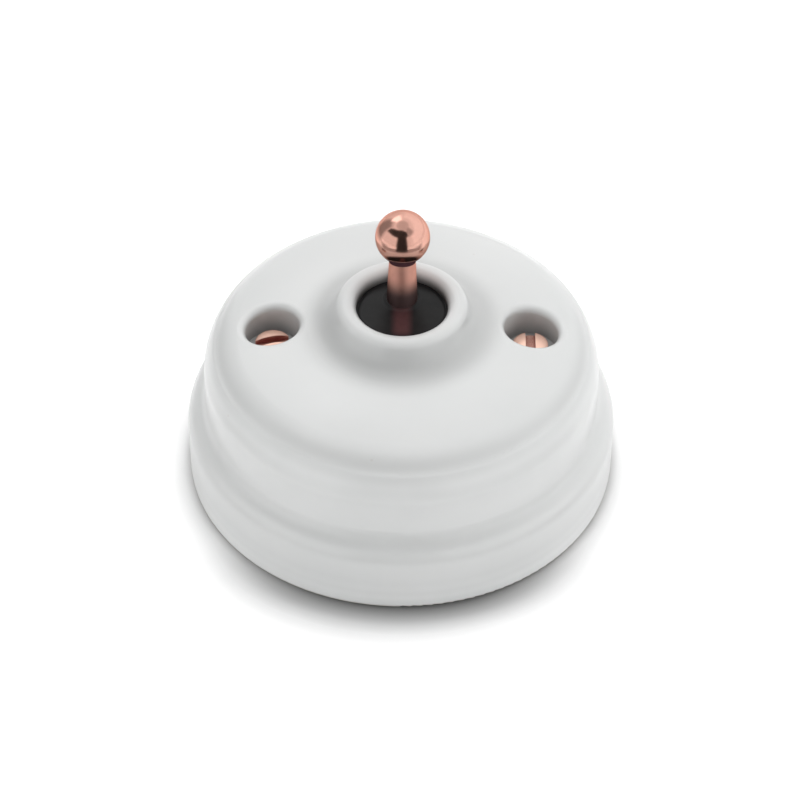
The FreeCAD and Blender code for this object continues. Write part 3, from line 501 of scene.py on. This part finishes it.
def dress():
    """Gives each piece the material of its slot, and the cover screws a satin copper of their own."""
    looks = {
        "glazed_porcelain": porcelain(),
        "copper_plate": copper(),
        "black_phenolic": phenolic(),
        "yellow_brass": metal("yellow_brass", (0.60, 0.42, 0.16), (0.70, 0.50, 0.21), 0.22, 0.34),
        "spring_bronze": metal("spring_bronze", (0.55, 0.33, 0.17), (0.63, 0.39, 0.21), 0.25, 0.36),
        "zinc_plated_steel": metal("zinc_plated_steel", (0.50, 0.51, 0.53), (0.60, 0.61, 0.62), 0.24, 0.36),
        "contact_silver": metal("contact_silver", (0.78, 0.77, 0.73), (0.86, 0.85, 0.81), 0.18, 0.28),
        "white_nylon": nylon(),
    }
    for entry in frame["record"]["subparts"]:
        give_material(entry["node"], looks[entry["material_slot"]])
    give_material("cover_screws", screw_copper())


def direction(azimuth, elevation):
    """Unit vector towards an azimuth and an elevation in degrees."""
    turn, rise = math.radians(azimuth), math.radians(elevation)
    return Vector((math.cos(rise) * math.sin(turn), -math.cos(rise) * math.cos(turn), math.sin(rise)))


def add_mesh(name, points, faces, material):
    mesh = bpy.data.meshes.new(name)
    mesh.from_pydata(points, [], faces)
    mesh.materials.append(material)
    thing = bpy.data.objects.new(name, mesh)
    SCENE.collection.objects.link(thing)
    return thing


def make_camera():
    data = bpy.data.cameras.new("camera")
    data.sensor_width = SENSOR_WIDTH
    data.lens = FOCAL_PIXELS / FRAME_PIXELS * SENSOR_WIDTH
    data.clip_start, data.clip_end = 0.01, 20.0
    camera = bpy.data.objects.new("camera", data)
    SCENE.collection.objects.link(camera)
    back = Vector((0.0, -math.cos(VIEW_ELEVATION), math.sin(VIEW_ELEVATION)))
    turn = Matrix.Rotation(math.pi / 2 - VIEW_ELEVATION, 4, "X") @ Matrix.Rotation(VIEW_ROLL, 4, "Z")
    camera.matrix_world = Matrix.Translation(VIEW_AIM + back * VIEW_DISTANCE) @ turn
    SCENE.camera = camera


def direct_look(tree):
    """1 for rays that see the surroundings straight, in a mirror or through glass, and 0 for light."""
    path = tree.nodes.new("ShaderNodeLightPath")
    mirrored = combine(tree, "MAXIMUM", path.outputs["Is Camera Ray"], path.outputs["Is Glossy Ray"])
    return combine(tree, "MAXIMUM", mirrored, path.outputs["Is Transmission Ray"])


def make_floor():
    """White paper with a painted soft contact shadow where the part stands on it."""
    half = FLOOR_HALF
    corners = [(-half, -half, 0.0), (half, -half, 0.0), (half, half, 0.0), (-half, half, 0.0)]
    material, tree, shader = new_material("floor_paper")
    radius = flat_distance(tree, 0.0, False)
    edge = CAD_BOX[1][0]
    outward = combine(tree, "SUBTRACT", radius, edge)
    # Painted contact shadow beside the part and in front of it.
    shadow_beside = tones(tree, outward, SIDE_SHADOW_TONES, "LINEAR")
    shadow_in_front = tones(tree, outward, FRONT_SHADOW_TONES, "LINEAR")
    forward = fade(tree, coordinate(tree, "Y"), *FRONT_FADE)
    tree.links.new(mix(tree, forward, shadow_beside, shadow_in_front), shader.inputs["Base Color"])
    shader.inputs["Roughness"].default_value = 1.0
    shader.inputs["Specular IOR Level"].default_value = 0.0
    shader.inputs["Emission Color"].default_value = (1.0, 1.0, 1.0, 1.0)
    start = spread(tree, forward, edge, edge + GLOW_FRONT_GAP)
    lift = multiply(tree, combine(tree, "SUBTRACT", radius, start), GLOW / GLOW_WIDTH)
    lift = combine(tree, "MINIMUM", combine(tree, "MAXIMUM", lift, 0.0), GLOW)
    tree.links.new(multiply(tree, direct_look(tree), lift), shader.inputs["Emission Strength"])
    add_mesh("floor", corners, [(0, 1, 2, 3)], material)


def background(tree, strength):
    node = tree.nodes.new("ShaderNodeBackground")
    node.inputs["Color"].default_value = (1.0, 1.0, 1.0, 1.0)
    node.inputs["Strength"].default_value = strength
    return node.outputs["Background"]


def make_world():
    """A dim white sky for light, and a white one for rays that see it."""
    world = bpy.data.worlds.new("studio")
    SCENE.world = world
    world.use_nodes = True
    tree = world.node_tree
    tree.nodes.clear()
    out = tree.nodes.new("ShaderNodeOutputWorld")
    choice = tree.nodes.new("ShaderNodeMixShader")
    tree.links.new(direct_look(tree), choice.inputs["Fac"])
    tree.links.new(background(tree, SKY), choice.inputs[1])
    tree.links.new(background(tree, 1.0), choice.inputs[2])
    tree.links.new(choice.outputs["Shader"], out.inputs["Surface"])


def make_lamps():
    for name, (azimuth, elevation, side, watts) in LAMPS.items():
        data = bpy.data.lights.new(name, "AREA")
        data.size = side
        data.energy = watts
        lamp = bpy.data.objects.new(name, data)
        outward = direction(azimuth, elevation)
        lamp.location = LAMP_AIM + outward * LAMP_DISTANCE
        lamp.rotation_euler = outward.to_track_quat("Z", "Y").to_euler()
        lamp.visible_glossy = False
        SCENE.collection.objects.link(lamp)


def panel_material(name, brightness):
    """Plain light that fades out along the panel's edges."""
    material = bpy.data.materials.new(name)
    material.use_nodes = True
    tree = material.node_tree
    tree.nodes.clear()
    out = tree.nodes.new("ShaderNodeOutputMaterial")
    glow = tree.nodes.new("ShaderNodeEmission")
    glow.inputs["Strength"].default_value = brightness
    clear = tree.nodes.new("ShaderNodeBsdfTransparent")
    feather = tree.nodes.new("ShaderNodeAttribute")
    feather.attribute_name = "feather"
    edge = tree.nodes.new("ShaderNodeMixShader")
    tree.links.new(feather.outputs["Fac"], edge.inputs["Fac"])
    tree.links.new(clear.outputs["BSDF"], edge.inputs[1])
    tree.links.new(glow.outputs["Emission"], edge.inputs[2])
    tree.links.new(edge.outputs["Shader"], out.inputs["Surface"])
    return material


def stations_between(stations, azimuth):
    """Lowest and highest elevation of a panel at an azimuth between two of its stations."""
    for (a, low_a, high_a), (b, low_b, high_b) in zip(stations, stations[1:]):
        if a <= azimuth <= b:
            share = (azimuth - a) / (b - a)
            return low_a + share * (low_b - low_a), high_a + share * (high_b - high_a)


def panel_distance(ray, layer):
    """How far from the knob a panel stands along a ray, so that it stays above the floor."""
    far = TENT_DISTANCE - TENT_LAYER * layer
    if ray.z < 0.0:
        far = min(far, (KNOB.z - TENT_FLOOR_GAP - TENT_FLOOR_LAYER * layer) / -ray.z)
    return far


def make_panel(layer, name, brightness, soft, stations):
    """A grid of points round the knob, each with the share of the panel's light that it shows."""
    first, last = stations[0][0], stations[-1][0]
    columns = max(1, round((last - first) / TENT_STEP))
    closed = last - first >= 360
    rows = TENT_ROWS
    points, feather = [], []
    for i in range(columns + 1):
        azimuth = first + (last - first) * i / columns
        low_edge, high_edge = stations_between(stations, azimuth)
        for j in range(rows + 1):
            ray = direction(azimuth, low_edge + (high_edge - low_edge) * j / rows)
            points.append(KNOB + ray * panel_distance(ray, layer))
            inset = min(j, rows if high_edge >= 90 else rows - j)
            if not closed:
                inset = min(inset, i, columns - i)
            feather.append(min(1.0, inset / soft))
    faces = []
    for i in range(columns):
        for j in range(rows):
            a = i * (rows + 1) + j
            faces.append((a, a + 1, a + rows + 2, a + rows + 1))
    panel = add_mesh(name, points, faces, panel_material(name, brightness))
    panel.data.attributes.new("feather", "FLOAT", "POINT").data.foreach_set("value", feather)
    panel.visible_camera = False
    panel.visible_diffuse = False
    panel.visible_shadow = False


def make_tent():
    for layer, (name, (brightness, soft, stations)) in enumerate(TENT.items()):
        make_panel(layer, name, brightness, soft, stations)


def stem_ring(height, offset):
    """Points round the stem at a height, a little way out from its surface."""
    middle = PIVOT + AXIS * ((height - PIVOT.z) / AXIS.z)
    ring = []
    for outward in flat_ring(1.0, 0.0):
        place = NODES["lever"].ray_cast(middle + outward * STEM_REACH, -outward)[1]
        ring.append(place + outward * offset)
    return ring


def flat_ring(radius, height):
    """Points round the axis at a height."""
    turns = [2.0 * math.pi * i / SEAL_COUNT for i in range(SEAL_COUNT)]
    return [Vector((radius * math.cos(turn), radius * math.sin(turn), height)) for turn in turns]


def make_seal():
    """Thin rubber diaphragm over the slot. Its rim lies on the housing and its middle round the stem as it
    lies at rest.
    """
    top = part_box("housing_lid")[1][2]
    rest, lift = top + SEAL_THICKNESS, SEAL_LIFT
    rings = [flat_ring(SEAL_FOOT, top), flat_ring(SEAL_BEVEL, rest)]
    edge = flat_ring(SEAL_EDGE, rest)
    sleeve = stem_ring(rest + lift, SEAL_GAP)
    for k in range(SEAL_STEPS + 1):
        share = k / SEAL_STEPS
        rings.append([a.lerp(b, share) for a, b in zip(edge, sleeve)])
    for rise, offset in SLEEVE:
        rings.append(stem_ring(rest + lift + rise, offset))
    points = [place for ring in rings for place in ring]
    faces = []
    for k in range(len(rings) - 1):
        near, far = k * SEAL_COUNT, (k + 1) * SEAL_COUNT
        for i in range(SEAL_COUNT):
            j = (i + 1) % SEAL_COUNT
            faces.append((near + i, near + j, far + j, far + i))
    seal = add_mesh("slot_seal", points, faces, rubber())
    for polygon in seal.data.polygons:
        polygon.use_smooth = True
    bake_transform(seal)


def make_coil():
    """The plunger's spring, copied and carried with the lever."""
    coil = bpy.data.objects.new("plunger_coil", NODES["plunger_spring"].data.copy())
    SCENE.collection.objects.link(coil)
    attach(coil, "lever")
    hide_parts("plunger_spring")
    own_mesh(coil)


make_camera()
make_floor()
make_world()
make_lamps()
make_tent()
dress()
make_seal()
make_coil()
SCENE.view_settings.view_transform = "Standard"
